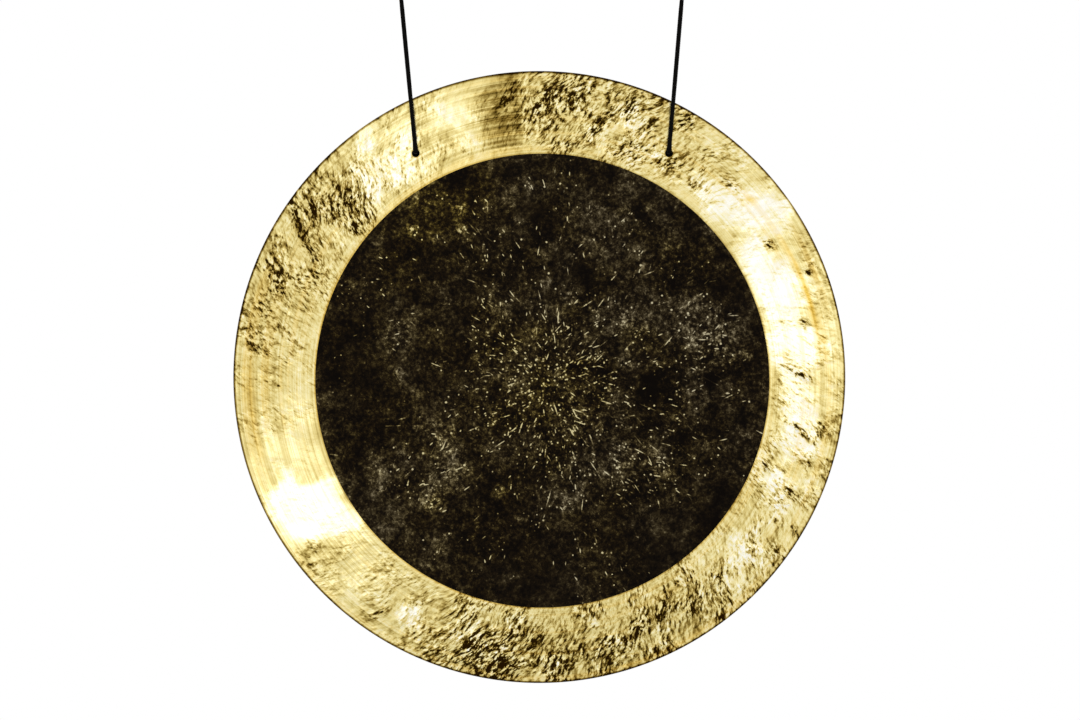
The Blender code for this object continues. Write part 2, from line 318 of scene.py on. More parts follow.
def strandRoute(side):
    # from inside the stopper knot through the hole, round the bend and straight up to the eye knot
    foot, rise = cordLine(side)
    inward, bend = Vector((0, 1, 0)), knots["holeBend"]
    route = [foot + inward * knots["stopperCoreStart"] * share for share in knots["strandStart"]]
    for i in range(knots["bendSteps"] + 1):
        turn = math.radians(90) * i / knots["bendSteps"]
        route.append(foot + inward * bend * (1 - math.sin(turn)) + rise * bend * (1 - math.cos(turn)))
    head = cordHead(side)
    straight = (head - route[-1]).length
    steps = round(straight / knots["straightStep"])
    return route + [route[-1].lerp(head, i / steps) for i in range(1, steps + 1)]


def tangents(points):
    steps = np.gradient(points, axis=0)
    return steps / np.linalg.norm(steps, axis=1)[:, None]


def braidHeight(around, along):
    # 0 in the crevices and 1 on a strand's back, as the two ways of strands go over each other in turn
    p = cord["strandsEachWay"] * around + along / cord["cellLength"] / 2
    q = cord["strandsEachWay"] * around - along / cord["cellLength"] / 2
    onTop = (np.floor(p) + np.floor(q)) % 2 == 0
    across, lengthwise = np.where(onTop, p, q) % 1, np.where(onTop, q, p) % 1
    acrossPower, alongPower = cord["strandRounding"]
    under = cord["underHeight"]
    dive = under + (1 - under) * np.sin(np.pi * lengthwise) ** alongPower
    return np.sin(np.pi * across) ** acrossPower * dive


def addTube(name, points, roundStart=True, endRise=1.0, meltedEnd=0.0, swell=None):
    # a braided cord along the points, half round at its ends; endRise is the height of the last end as a
    # share of half round, and meltedEnd is a length of smooth cord there
    radius, sides = cord["radius"] + cord["ridge"], cord["sides"]
    along = np.concatenate([[0], np.cumsum(np.linalg.norm(np.diff(points, axis=0), axis=1))])
    share = np.ones(len(points))
    direction = tangents(points)
    centre = points.copy()
    capTurns = np.radians(cord["capDegrees"])
    narrowing = np.cos(capTurns)
    for rise, at, sign in ((float(roundStart), 0, -1), (endRise, -1, 1)):
        if not rise:
            continue
        beyond = sign * radius * rise * np.sin(capTurns)
        cap, capAlong = centre[at] + direction[at] * beyond[:, None], along[at] + beyond
        facing = np.repeat(direction[at][None], len(capTurns), axis=0)
        if sign < 0:
            centre, direction = np.vstack([cap, centre]), np.vstack([facing, direction])
            share, along = np.append(narrowing, share), np.append(capAlong, along)
        else:
            centre, direction = np.vstack([centre, cap[::-1]]), np.vstack([direction, facing])
            share, along = np.append(share, narrowing[::-1]), np.append(along, capAlong[::-1])
    # carry one sideways direction along the line without twisting it
    side = np.cross(direction[0], (0.3, 1, 0.2))
    across = []
    for facing in direction:
        side = side - facing * (side @ facing)
        side = side / np.linalg.norm(side)
        across.append(side)
    across = np.array(across)
    upward = np.cross(direction, across)
    around = np.arange(sides) / sides
    relief = braidHeight(around[None], along[:, None])
    if meltedEnd:
        melted = np.clip((along - along[-1] + meltedEnd) / (0.5 * meltedEnd), 0, 1)[:, None]
        relief = relief * (1 - melted) + cord["meltedHeight"] * melted
    reach = share * radius * (swell(along) if swell else 1)
    reach = reach[:, None] - cord["ridge"] * (1 - relief) * share[:, None]
    turn = fullTurn * around
    ring = across[:, None] * np.cos(turn)[None, :, None] + upward[:, None] * np.sin(turn)[None, :, None]
    verts = centre[:, None] + ring * reach[..., None]
    count = len(centre)
    poles = [centre[0] - direction[0] * cord["tipRise"], centre[-1] + direction[-1] * cord["tipRise"]]
    quads, corners = [], []
    for i in range(count - 1):
        for j in range(sides):
            k = (j + 1) % sides
            quads.append((i * sides + j, i * sides + k, (i + 1) * sides + k, (i + 1) * sides + j))
            corners += [(j, i), (j + 1, i), (j + 1, i + 1), (j, i + 1)]
    first, last = count * sides, count * sides + 1
    for j in range(sides):
        k = (j + 1) % sides
        quads.append((first, k, j))
        quads.append((last, (count - 1) * sides + j, (count - 1) * sides + k))
        corners += [(j, 0), (j + 1, 0), (j, 0), (j, count - 1), (j, count - 1), (j + 1, count - 1)]
    mesh = bpy.data.meshes.new(name)
    mesh.from_pydata(np.vstack([verts.reshape(-1, 3), poles]).tolist(), [], quads)
    corners = np.array(corners)
    layer = mesh.uv_layers.new(name="braid")
    repeat = 2 * cord["strandsEachWay"] * cord["cellLength"]
    uv = np.stack([corners[:, 0] / sides, along[corners[:, 1]] / repeat], axis=1)
    layer.data.foreach_set("uv", uv.astype(np.float32).ravel())
    height = mesh.attributes.new("strandHeight", "FLOAT", "POINT")
    height.data.foreach_set("value", np.append(relief.ravel(), [1, 1]).astype(np.float32))
    mesh.polygons.foreach_set("use_smooth", [True] * len(mesh.polygons))
    mesh.update()
    made = bpy.data.objects.new(name, mesh)
    bpy.context.scene.collection.objects.link(made)
    return made


def nylonMaterial():
    # Braided nylon, dyed black and matt: painted shade in the crevices and a faint painted sheen along
    # each strand's filaments
    material, tree, shader = newMaterial("braided_nylon")
    height = addNode(tree, "Attribute", {"attribute_name": "strandHeight"})["Fac"]
    uv = addNode(tree, "UVMap", {"uv_map": "braid"})[0]
    filaments = addNode(tree, "Mapping", {"Scale": cord["filamentCells"]}, {"Vector": uv})[0]
    fibre = addNode(tree, "TexNoise", {"Scale": 1.0, "Detail": 2.0}, {"Vector": filaments})["Fac"]
    # painted shade and sheen: the colour is darkest in the crevices and lightest on the strands' backs
    tone = addNode(tree, "Math", {"operation": "MULTIPLY"}, {0: height, 1: fibre})[0]
    colour = addNode(tree, "ValToRGB", links={"Fac": tone})[0]
    setStops(colour, [(0.12, "#010101"), (0.75, "#13110F")])
    bump = addNode(tree, "Bump", {"Strength": 0.35, "Distance": 0.0001}, {"Height": fibre})[0]
    tree.links.new(colour, shader.inputs["Base Color"])
    tree.links.new(bump, shader.inputs["Normal"])
    shader.inputs["Roughness"].default_value = 0.6
    shader.inputs["Specular IOR Level"].default_value = 0.04
    return material


def strandSwell(along):
    # the braid spreads where it is pulled round the hole's edge, and stands full where nothing touches it
    share, place, reach = cord["fullAtHole"]
    atHole = share * np.exp(-((np.clip(along - place, 0, None) / reach) ** 2))
    share, start, startReach, end, endReach = cord["fullInAir"]
    inAir = share / (1 + np.exp((start - along) / startReach)) / (1 + np.exp((along - end) / endReach))
    return 1 + atHole + inAir


def stopperSwell(along):
    # the braid is also spread on its way through the hole
    share, end, reach = cord["fullBehind"]
    return 1 + share / (1 + np.exp((along - end) / reach))


def cordPieces():
    nylon = nylonMaterial()
    highest = holeCircle + cord["wrap"] + cord["radius"] + disc["holeRadius"]
    seat = dome(highest) + plateThickness(highest) - disc["turnedDepth"] + cord["fitGap"]
    for side in cord["leanDegrees"]:
        foot, rise = cordLine(side)
        strandPoints = smoothRoute(strandRoute(side), cord["ringStep"])
        strand = addTube(
            side + "_cord_strand", strandPoints, endRise=cord["knotEndRise"], swell=strandSwell
        )
        across = Vector((0, 1, 0)).cross(rise)
        eyeFrame = knotFrame(cordHead(side), across, rise)
        eyePoints = [eyeFrame @ point for point in eyeRoute(cord["swingDrop"] / rise.z)]
        eye = addTube(
            side + "_cord_eye", smoothRoute(eyePoints, cord["ringStep"]), meltedEnd=cord["meltedEnd"]
        )
        backFrame = knotFrame(foot, Vector((0, 0, 1)), Vector((0, 1, 0)))
        stopperPoints = [backFrame @ point for point in stopperRoute(seat)]
        stopper = addTube(
            side + "_cord_stopper", smoothRoute(stopperPoints, cord["ringStep"]), roundStart=False,
            meltedEnd=cord["meltedEnd"], swell=stopperSwell,
        )
        for piece in (strand, eye, stopper):
            piece.data.materials.append(nylon)
        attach(eye, "eyes")
        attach(stopper, "gong")
        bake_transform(strand)
        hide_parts(side + "_cord")
        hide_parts(side + "_eye", side + "_eye_knot")
        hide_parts(side + "_stopper_knot")
        path = strandPoints[:: len(strandPoints) // cord["pathPoints"]]
        path = [*path[:-1].tolist(), strandPoints[-1].tolist()]


cordPieces()


# The plate: rings turned about the lathe's axis, each zone with points enough for its relief
plate = {
    # points round, first radius, last radius, rings
    "frontZones": [
        (55, 0.0025, 0.027, 8),
        (110, 0.0295, 0.055, 8),
        (220, 0.0575, 0.1105, 18),
        (440, 0.1135, 0.2215, 36),
    ],
    "frontBand": (1100, 44),
    "backZones": [(55, 0.0025, 0.052, 10), (220, 0.057, 0.2215, 34)],
    "backBand": (440, 20),
    "rimSteps": 4,
    "sideGap": 0.01,  # front and back lie this far apart until they get their form
    "ringTolerance": 0.0001,
    "holeSides": 64,
    "drillLength": 0.04,
    "sharpEdge": math.radians(40),
}


def ringRadius(point):
    return math.hypot(point.x - latheAxis.x, point.z - latheAxis.z)


def addZone(points, radii, depth):
    # a circle about the lathe's axis, extruded outwards ring by ring
    centre = (latheAxis.x, depth, latheAxis.z)
    bpy.ops.mesh.select_all(action="DESELECT")
    bpy.ops.mesh.primitive_circle_add(
        vertices=points, radius=radii[0], location=centre, rotation=(math.radians(90), 0, 0)
    )
    for inner, outer in zip(radii, radii[1:]):
        bpy.ops.mesh.extrude_edges_move()
        bpy.ops.transform.resize(value=(outer / inner,) * 3, center_override=centre)


def selectOpenEdges(obj, inner, outer, depth=0):
    # selects the open edges between two radii, on the side that depth gives or on both
    bpy.ops.mesh.select_all(action="DESELECT")
    bm = bmesh.from_edit_mesh(obj.data)
    low, high = inner - plate["ringTolerance"], outer + plate["ringTolerance"]
    for edge in bm.edges:
        near = all(low < ringRadius(v.co) < high and v.co.y * depth >= 0 for v in edge.verts)
        if edge.is_boundary and near:
            edge.select_set(True)
    bmesh.update_edit_mesh(obj.data)


def buildPlateRings():
    # an emptied primitive, then all the zones' rings, bridged to each other and closed at the axis and rim
    bpy.ops.mesh.primitive_circle_add(vertices=8, radius=0.001)
    obj = bpy.context.object
    obj.name = obj.data.name = "gong_plate"
    bpy.ops.object.mode_set(mode="EDIT")
    bpy.ops.mesh.select_mode(type="EDGE")
    bpy.ops.mesh.select_all(action="SELECT")
    bpy.ops.mesh.delete(type="VERT")
    rimRadius, rounding, steps = disc["rimRadius"], disc["rimRounding"], plate["rimSteps"]
    rimTurns = [math.radians(90) * i / steps for i in range(1, steps + 1)]
    rim = [rimRadius - rounding * (1 - math.sin(turn)) for turn in rimTurns]
    step = disc["turnedRamp"] / 2
    for zones, (points, rings), depth in (
        (plate["frontZones"], plate["frontBand"], -plate["sideGap"] / 2),
        (plate["backZones"], plate["backBand"], plate["sideGap"] / 2),
    ):
        for count, inner, outer, ringCount in zones:
            addZone(count, list(np.linspace(inner, outer, ringCount + 1)), depth)
        band = list(np.linspace(middleRadius + step, rimRadius - rounding, rings + 1))
        addZone(points, [middleRadius - step, *band, *rim], depth)
        starts = [zone[1] for zone in zones[1:]] + [middleRadius - step]
        for zone, outer in zip(zones, starts):
            selectOpenEdges(obj, zone[2], outer, depth)
            bpy.ops.mesh.bridge_edge_loops()
        selectOpenEdges(obj, 0, zones[0][1], depth)
        bpy.ops.mesh.extrude_edges_move()
        bpy.ops.mesh.merge(type="CENTER")
    selectOpenEdges(obj, rimRadius, rimRadius)
    bpy.ops.mesh.bridge_edge_loops()
    bpy.ops.mesh.select_all(action="SELECT")
    bpy.ops.mesh.normals_make_consistent(inside=False)
    bpy.ops.object.mode_set(mode="OBJECT")
    orderFaces(obj.data)
    return obj


def orderFaces(mesh):
    # extruding and bridging start each face at any corner, so the same faces are laid again in one order
    points = [tuple(point.co) for point in mesh.vertices]
    faces = []
    for face in mesh.polygons:
        corners = list(face.vertices)
        first = corners.index(min(corners))
        faces.append(corners[first:] + corners[:first])
    mesh.clear_geometry()
    mesh.from_pydata(points, [], sorted(faces))


def coordinates(obj):
    co = np.empty(3 * len(obj.data.vertices), np.float32)
    obj.data.vertices.foreach_get("co", co)
    return co.reshape(-1, 3).astype(float)


def keepAttribute(obj, name, values):
    kept = obj.data.attributes.new(name, "FLOAT", "POINT")
    kept.data.foreach_set("value", np.asarray(values, np.float32))


def formPlate(obj):
    # dome, thinning plate, turned step, rounded rim, and the drift of the rings to the rim's own centre
    co = coordinates(obj)
    front = co[:, 1] < 0
    axis = np.array(latheAxis)
    flat = co[:, [0, 2]] - axis[[0, 2]]
    ring = np.hypot(*flat.T)
    drift = np.clip((ring - middleRadius) / disc["bandWidth"], 0, None)[:, None]
    flat = flat + drift * np.array(disc["outlineShift"])[[0, 2]]
    radius = np.hypot(*flat.T)
    turned = np.where(ring > middleRadius, disc["turnedDepth"], 0)
    rounding = disc["rimRounding"]
    past = np.clip((ring - disc["rimRadius"] + rounding) / rounding, 0, 1)
    sunk = turned + rounding * (1 - np.sqrt(1 - past**2))
    skin = dome(radius) + np.where(front, sunk, plateThickness(radius) - sunk)
    placed = np.stack([axis[0] + flat[:, 0], skin, axis[2] + flat[:, 1]], axis=1)
    obj.data.vertices.foreach_set("co", placed.astype(np.float32).ravel())
    keepAttribute(obj, "backSide", ~front)
    keepAttribute(obj, "ringRadius", ring)
    obj.data.update()


def drillHoles(obj):
    for side in cord["leanDegrees"]:
        deselectAll()
        bpy.ops.mesh.primitive_cylinder_add(
            vertices=plate["holeSides"], radius=disc["holeRadius"], depth=plate["drillLength"],
            location=(sideSign(side) * disc["holeSpacing"] / 2, 0, -disc["hangDrop"]),
            rotation=(math.radians(90), 0, 0),
        )
        drill = bpy.context.object
        makeActive(obj)
        cut = obj.modifiers.new(side + "_hole", "BOOLEAN")
        cut.operation, cut.solver, cut.object = "DIFFERENCE", "EXACT", drill
        bpy.ops.object.modifier_apply(modifier=cut.name)
        bpy.data.objects.remove(drill)


hammering = {
    # how thickly the hammer marks lie: degrees anticlockwise from the right, share
    "density": [
        (0, 0.25), (20, 0.2), (40, 0.15), (50, 0.26), (60, 0.6), (80, 0.7), (93.6, 0.7), (94.6, 0.12),
        (108, 0.14), (126, 0.3), (137, 0.85), (152, 0.65), (172, 0.55), (184, 0.25), (198, 0.05),
        (214, 0.06), (222, 0.2), (241, 0.3), (252, 0.9), (282, 0.95), (300, 0.75), (318, 0.5),
        (342, 0.45),
    ],
    # patches of scale that the tool left: degrees, radius, reach around, reach outwards, strength
    "stains": [
        (77, 0.264, 0.006, 0.010, 1.25), (82, 0.236, 0.012, 0.006, 0.25),
        (61, 0.293, 0.008, 0.009, 0.8), (72, 0.284, 0.006, 0.008, 0.7), (46, 0.271, 0.010, 0.006, 0.7),
        (52, 0.248, 0.008, 0.006, 0.6), (60, 0.247, 0.008, 0.006, 0.5), (31, 0.264, 0.005, 0.005, 0.9),
        (52.7, 0.264, 0.002, 0.003, 0.9), (1, 0.259, 0.003, 0.008, 0.9),
        (22, 0.2865, 0.0024, 0.0024, 1.3), (147, 0.288, 0.006, 0.018, 0.85),
        (161, 0.275, 0.004, 0.012, 0.8), (142, 0.270, 0.009, 0.006, 0.3),
        (141, 0.241, 0.005, 0.006, 0.8), (235, 0.284, 0.004, 0.009, 0.7),
        (269, 0.263, 0.006, 0.008, 0.7), (254, 0.274, 0.005, 0.009, 0.7),
        (262.5, 0.258, 0.004, 0.010, 0.6), (300, 0.246, 0.003, 0.010, 0.7),
        (339, 0.238, 0.003, 0.005, 0.8), (336, 0.270, 0.004, 0.008, 0.7),
        (92, 0.262, 0.006, 0.022, 0.3), (333, 0.262, 0.006, 0.010, 0.35),
        (259, 0.287, 0.028, 0.016, 0.3), (268, 0.262, 0.007, 0.008, 0.4),
        (246, 0.268, 0.012, 0.012, 0.15), (218, 0.296, 0.014, 0.006, 0.3),
        (297, 0.263, 0.006, 0.007, 0.75), (290, 0.268, 0.005, 0.006, 0.7),
        (307, 0.293, 0.006, 0.007, 0.8), (293, 0.291, 0.020, 0.008, 0.3),
        (329, 0.294, 0.003, 0.007, 1.0), (349, 0.262, 0.003, 0.012, 0.8),
        (273, 0.265, 0.014, 0.020, 0.2), (23, 0.293, 0.005, 0.004, 0.5),
        (12.5, 0.267, 0.004, 0.004, 0.65), (3, 0.245, 0.004, 0.006, 0.35),
        (216, 0.281, 0.006, 0.006, 0.35), (342, 0.280, 0.006, 0.010, 0.3),
        (150, 0.270, 0.005, 0.014, 0.6), (144, 0.283, 0.009, 0.010, 0.6),
        (66, 0.280, 0.010, 0.018, 0.15), (83, 0.285, 0.012, 0.014, 0.4), (80, 0.245, 0.009, 0.010, 0.3),
        (96.8, 0.285, 0.009, 0.016, 0.6), (95.3, 0.262, 0.005, 0.012, 0.5),
        (90, 0.280, 0.008, 0.012, 0.35), (322, 0.262, 0.010, 0.010, 0.3),
        (350, 0.285, 0.010, 0.010, 0.3), (262, 0.290, 0.020, 0.012, 0.6),
        (256, 0.275, 0.012, 0.020, 0.4), (267, 0.255, 0.012, 0.012, 0.4),
        (248, 0.285, 0.010, 0.015, 0.15), (239, 0.262, 0.008, 0.010, 0.1),
        (234, 0.285, 0.012, 0.018, 0.1), (283, 0.285, 0.020, 0.020, 0.3),
        (291, 0.262, 0.012, 0.014, 0.4), (298, 0.255, 0.012, 0.012, 0.4),
        (304, 0.275, 0.020, 0.020, 0.3), (312, 0.262, 0.006, 0.012, 0.3),
        (324, 0.285, 0.008, 0.008, 0.4), (329, 0.273, 0.006, 0.008, 0.35),
        (275, 0.275, 0.020, 0.020, 0.3), (86, 0.262, 0.012, 0.012, 0.4), (70, 0.247, 0.014, 0.010, 0.3),
        (58, 0.262, 0.012, 0.012, 0.35), (74, 0.290, 0.020, 0.012, 0.15),
        (88, 0.290, 0.015, 0.015, 0.35), (137, 0.262, 0.010, 0.012, 0.4),
        (152, 0.255, 0.008, 0.008, 0.35), (158, 0.285, 0.008, 0.014, 0.35),
        (168, 0.270, 0.006, 0.020, 0.35), (173, 0.290, 0.008, 0.006, 0.25),
    ],
    # painted shade: fans where the tool lines turn the band's reflection away from the light: sharp edge,
    # degrees to where it fades, strength
    "fans": [
        (94.2, 12, 1.8), (132, 10, 0.5), (160, 9, 0.3), (176, 12, 0.2), (303, -6, 0.25), (273, 14, 0.3),
    ],
    "fanEdge": 14,  # steepness of a fan's sharp edge
    "fanFade": 0.7,  # power of the fading away from it
    "fanInside": 0.35,  # how strong it is at the border, full from half way across the band
    # painted highlight: paler metal where the band's reflection of the lamps is brightest, given as the
    # stains are
    "paintedHighlight": [
        (209, 0.252, 0.031, 0.032, 1.35), (209, 0.284, 0.028, 0.022, 1.0),
        (130, 0.268, 0.020, 0.045, 0.8), (121, 0.262, 0.022, 0.040, 0.6),
        (111, 0.264, 0.026, 0.040, 0.45), (41, 0.266, 0.036, 0.034, 1.0),
        (24, 0.246, 0.034, 0.018, 0.9), (13, 0.252, 0.036, 0.022, 1.1), (1, 0.252, 0.030, 0.022, 0.8),
        (355, 0.262, 0.018, 0.020, 0.7), (347, 0.264, 0.030, 0.030, 0.7),
        (320, 0.246, 0.016, 0.016, 0.5), (335, 0.258, 0.030, 0.028, 0.9),
        (318, 0.266, 0.026, 0.024, 0.55), (30, 0.262, 0.030, 0.030, 0.45),
        (289, 0.276, 0.006, 0.006, 0.4), (61, 0.258, 0.020, 0.018, 0.45),
        (75, 0.266, 0.018, 0.022, 0.6), (240, 0.268, 0.020, 0.024, 0.6),
        (254, 0.262, 0.012, 0.020, 0.4), (50, 0.255, 0.016, 0.020, 0.4),
    ],
    # where a film of tarnish turns it to a deeper yellow, given as the stains are
    "warm": [
        (17, 0.2785, 0.050, 0.0030, 1.0), (8, 0.2830, 0.030, 0.0022, 0.8),
        (22, 0.2910, 0.030, 0.0030, 0.5), (41, 0.2750, 0.006, 0.0060, 0.8),
        (5.6, 0.2420, 0.008, 0.004, 0.5), (184, 0.2920, 0.060, 0.0060, 0.7),
        (178, 0.2740, 0.050, 0.0030, 0.5), (98, 0.2700, 0.022, 0.0400, 0.2),
        (163, 0.2960, 0.040, 0.0060, 0.5), (255, 0.2960, 0.060, 0.0050, 0.2),
        (285, 0.2980, 0.040, 0.0040, 0.15), (123, 0.196, 0.050, 0.024, 1.0),
        (100, 0.048, 0.020, 0.012, 0.3),
    ],
    # clouds and bare spots on the raw middle: metres right of and above the lathe's axis, reach, strength
    "haze": [
        (-0.052, 0.071, 0.014, 0.16), (0.081, 0.066, 0.010, 0.24), (0.095, 0.051, 0.010, 0.20),
        (0.173, 0.037, 0.022, 0.20), (-0.052, 0.031, 0.012, 0.12), (-0.109, 0.017, 0.009, 0.14),
        (-0.095, -0.061, 0.011, 0.16), (-0.086, -0.087, 0.015, 0.14), (-0.109, -0.119, 0.013, 0.18),
        (0.023, -0.122, 0.011, 0.16), (0.012, -0.087, 0.013, 0.14), (0.078, -0.084, 0.015, 0.16),
        (0.121, -0.090, 0.017, 0.14), (-0.141, 0.048, 0.016, 0.12), (0.124, 0.129, 0.012, 0.14),
        (0.029, 0.083, 0.012, 0.16), (-0.041, -0.110, 0.006, 0.16), (-0.042, -0.140, 0.006, 0.12),
        (0.202, 0.025, 0.007, 0.18), (0.060, 0.160, 0.030, 0.06), (0.130, 0.070, 0.050, 0.06),
        (0.060, -0.070, 0.060, 0.06), (-0.110, -0.060, 0.050, 0.05), (0.000, -0.012, 0.050, 0.07),
        (-0.130, 0.149, 0.005, 0.40), (-0.081, 0.149, 0.006, 0.30), (-0.083, 0.170, 0.007, 0.25),
        (-0.120, 0.185, 0.020, 0.14), (0.167, -0.001, 0.006, -0.50), (0.107, -0.016, 0.008, -0.30),
        (0.105, 0.002, 0.005, -0.35), (-0.012, 0.166, 0.014, -0.14), (0.035, 0.103, 0.014, -0.12),
        (0.120, -0.175, 0.040, -0.12), (0.175, -0.130, 0.035, -0.12), (0.195, 0.090, 0.025, -0.12),
        (-0.190, 0.020, 0.040, -0.10), (-0.010, -0.208, 0.050, -0.14), (0.045, 0.105, 0.010, -0.10),
    ],
    "twist": 1.8,  # radians in a metre: the ripples lean clockwise as they run out
    "dentSpan": 0.030,  # the planishing blows
    "dentDepth": 0.00045,
    "rippleWidth": 0.0036,  # half of a ripple and its furrow
    "rippleLength": 0.0095,
    "rippleDepth": 0.00030,
    "leastRipple": 0.06,  # share of that depth where no marks lie
    "rippleFade": 0.006,  # from the border of the raw middle outwards
    # the ripples' painted shade: darker on the lee side and paler on the crest
    "leeTurn": 0.0045,  # radians from a ripple's crest to its dark side
    "crestShare": 0.6,  # how much paler a crest is, as a share of how dark its lee is
    "wander": 0.006,  # how far the ripples stray
    "wanderSpan": 0.040,
    "grainDepth": 0.00007,  # the raw middle's own unevenness
    "grainSpan": 0.008,
    "backSeed": 31.0,  # the back has blows of its own
    "rimFade": 0.004,
    "clearOfHoles": (0.006, 0.016),
    "proudByCords": 0.00004,  # how far a ripple may stand up under a cord
}


def ripple(x, z, seed, width, length, shift=0):
    # noise that is stretched outwards from the lathe's axis, with no seam round the disc
    stray = noise.noise_vector(Vector((x, seed, z)) / hammering["wanderSpan"]) * hammering["wander"]
    x, z = x + stray.x, z + stray.z
    radius = math.hypot(x, z)
    turn = math.atan2(z, x) + hammering["twist"] * radius + shift
    around = holeCircle / width
    return noise.noise(Vector((math.cos(turn) * around, radius / length + seed, math.sin(turn) * around)))


def clearance(co):
    # 0 at the holes and under the cords, 1 well away from them
    near, far = hammering["clearOfHoles"]
    clear = np.ones(len(co))
    for side in cord["leanDegrees"]:
        foot, rise = cordLine(side)
        x, z = co[:, 0] - foot.x, co[:, 2] + disc["hangDrop"]
        along = np.clip(x * rise.x + z * rise.z, 0, None)
        away = np.hypot(x - along * rise.x, z - along * rise.z)
        clear = np.minimum(clear, np.clip((away - near) / (far - near), 0, 1))
    return clear


def spread(patches, radius, turn):
    # the sum of soft patches, which lean as the ripples do
    total = np.zeros(len(turn))
    for at, ring, around, outward, strength in patches:
        arc = ring * ((turn - math.radians(at) + math.pi) % fullTurn - math.pi)
        lean = arc + hammering["twist"] * ring * (radius - ring)
        total += strength * np.exp(-((lean / around) ** 2) - ((radius - ring) / outward) ** 2)
    return total


def fanned(turn, radius):
    # the sum of the fans of painted shade, each strongest at its sharp edge and in the outer half of the
    # band
    total = np.zeros(len(turn))
    inside, halfBand = hammering["fanInside"], 0.5 * disc["bandWidth"]
    outward = np.clip(inside + (1 - inside) * (radius - middleRadius) / halfBand, 0, 1)
    for at, reach, strength in hammering["fans"]:
        past = ((np.degrees(turn) - at + 180) % 360 - 180) / reach
        edge, fade = np.clip(past * hammering["fanEdge"], 0, 1), np.clip(1 - past, 0, 1)
        total += strength * edge * fade ** hammering["fanFade"] * outward
    return total


def hammerPlate(obj):
    # moves the skins by the blows and ripples, and keeps a painted shade for the ripples: darker on each
    # one's lee side, paler on its crest
    co = coordinates(obj)
    back = np.empty(len(co), np.float32)
    obj.data.attributes["backSide"].data.foreach_get("value", back)
    x, z = co[:, 0] - latheAxis.x, co[:, 2] - latheAxis.z
    radius, turn = np.hypot(x, z), np.arctan2(z, x)
    degrees, share = zip(*hammering["density"])
    density = np.interp(np.degrees(turn) % 360, degrees, share, period=360)
    haze = np.zeros(len(co))
    for right, above, reach, strength in hammering["haze"]:
        haze += strength * np.exp(-((x - right) ** 2 + (z - above) ** 2) / reach**2)
    inBand = np.clip((radius - middleRadius) / hammering["rippleFade"], 0, 1)
    paintedRippleShade, lift = np.zeros(len(co)), np.zeros(len(co))
    width, length, depth = hammering["rippleWidth"], hammering["rippleLength"], hammering["rippleDepth"]
    least = hammering["leastRipple"]
    for i in range(len(co)):
        px, pz, seed = x[i], z[i], hammering["backSeed"] * (back[i] > 0.5)
        place = Vector((px, seed, pz))
        lift[i] = hammering["dentDepth"] * noise.noise(place / hammering["dentSpan"])
        if inBand[i] > 0:
            here = ripple(px, pz, seed, width, length)
            lee = ripple(px, pz, seed, width, length, hammering["leeTurn"]) - here
            lift[i] += depth * (least + (1 - least) * density[i]) * here * inBand[i]
            paintedRippleShade[i] = lee - hammering["crestShare"] * here
        else:
            lift[i] += hammering["grainDepth"] * noise.noise(place / hammering["grainSpan"])
    rimCentre = disc["rimCentre"]
    fromRim = disc["rimRadius"] - np.hypot(co[:, 0] - rimCentre.x, co[:, 2] - rimCentre.z)
    clear = clearance(co)
    lift = lift * np.clip(fromRim / hammering["rimFade"], 0, 1)
    lift = np.minimum(lift, hammering["proudByCords"] + clear * hammering["dentDepth"])
    co[:, 1] += np.where(back > 0.5, 1, -1) * lift * np.where(radius < holeCircle, clear, 1)
    obj.data.vertices.foreach_set("co", co.astype(np.float32).ravel())
    keepAttribute(obj, "paintedRippleShade", paintedRippleShade)
    keepAttribute(obj, "hammered", density)
    keepAttribute(obj, "stain", np.where(back > 0.5, 0, spread(hammering["stains"], radius, turn)))
    keepAttribute(obj, "paintedHighlight", spread(hammering["paintedHighlight"], radius, turn))
    keepAttribute(obj, "warm", spread(hammering["warm"], radius, turn))
    keepAttribute(obj, "paintedFanShade", fanned(turn, radius))
    keepAttribute(obj, "haze", haze)
    obj.data.update()


finish = {
    "stray": 0.009,  # how far the patterns wander
    "strayCells": 24.0,  # in a metre
    "offGrid": (0.731, 0.137, 0.417),
}


def offGrid(tree, place):
    # noise is even along the planes of its own grid, which would show as a cross through the middle
    return addNode(tree, "VectorMath", {"operation": "ADD", 1: finish["offGrid"]}, {0: place})[0]


def discPlace(tree):
    # place about the lathe's axis with the back's own metre in Y, the same place astray, and the first
    # place with no Y
    place = addNode(tree, "TexCoord")["Object"]
    back = addNode(tree, "Attribute", {"attribute_name": "backSide"})["Fac"]
    centred = addNode(tree, "VectorMath", {"operation": "SUBTRACT", 1: latheAxis}, {0: place})[0]
    level = addNode(tree, "VectorMath", {"operation": "MULTIPLY", 1: (1, 0, 1)}, {0: centred})[0]
    own = addNode(tree, "CombineXYZ", links={"Y": back})[0]
    flat = addNode(tree, "VectorMath", {"operation": "ADD"}, {0: level, 1: own})[0]
    wander = {"Scale": finish["strayCells"], "Detail": 1.0}
    stray = addNode(tree, "TexNoise", wander, {"Vector": offGrid(tree, flat)})["Color"]
    reach = finish["stray"]
    centring = {"operation": "MULTIPLY_ADD", 1: (2 * reach, 0, 2 * reach), 2: (-reach, 0, -reach)}
    stray = addNode(tree, "VectorMath", centring, {0: stray})[0]
    return flat, addNode(tree, "VectorMath", {"operation": "ADD"}, {0: flat, 1: stray})[0], level


